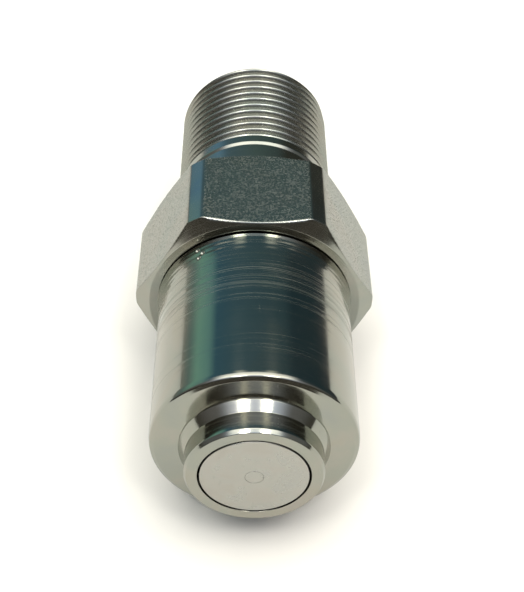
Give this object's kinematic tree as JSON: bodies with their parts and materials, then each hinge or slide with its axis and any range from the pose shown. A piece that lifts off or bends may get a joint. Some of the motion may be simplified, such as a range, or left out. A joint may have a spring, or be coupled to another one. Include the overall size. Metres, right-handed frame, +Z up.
{
  "type": "flat face quick coupling",
  "caption": "Male half of a hydraulic flat face quick coupling: flat nose with sprung poppet, round sleeve, hexagon body and threaded stub with a through port.",
  "frame": {"origin": "under the middle of the coupling, on the surface that it lies on, with a flat of the hexagon down", "axes": "+Y along the coupling's axis from the flat nose to the threaded end, +Z up out of the opposite flat of the hexagon"},
  "size_m": [0.0378, 0.083, 0.034],
  "materials": {
    "plated_steel": "bright zinc plating over turned steel, faint blue and straw tint",
    "bright_steel": "turned and ground steel, bare",
    "spring_steel": "dark drawn wire and phosphated clips",
    "bronze": "sintered bronze, satin",
    "rubber": "black nitrile, satin",
    "plastic": "milky fluoropolymer, matt"
  },
  "bodies": {
    "housing": {"front_body": "plated_steel", "rear_adapter": "plated_steel", "body_o_ring": "rubber", "body_backup_ring": "plastic", "poppet_guide": "bright_steel", "guide_bush": "bronze", "guide_retaining_ring": "spring_steel", "spring_seat": "bright_steel", "main_spring": "spring_steel"},
    "poppet": {"poppet_head": "plated_steel", "poppet_backup_front": "plastic", "poppet_o_ring": "rubber", "poppet_backup_rear": "plastic", "poppet_stem": "bright_steel", "spring_cup": "bright_steel", "stem_washer": "spring_steel", "stem_retaining_ring": "spring_steel", "relief_seal": "rubber", "relief_spring": "spring_steel"},
    "pin": {"relief_pin": "bright_steel"}
  },
  "joints": [
    {"name": "poppet_slide", "type": "slide", "parent": "housing", "child": "poppet", "axis": [0, 1, 0], "range_m": [0, 0.0115], "stiffness_N_per_m": 3000, "springref_m": -0.006, "deforming": ["main_spring"]},
    {"name": "relief_pin_slide", "type": "slide", "parent": "poppet", "child": "pin", "axis": [0, 1, 0], "range_m": [0, 0.001], "stiffness_N_per_m": 200, "springref_m": -0.0015, "deforming": ["relief_spring"]}
  ]
}
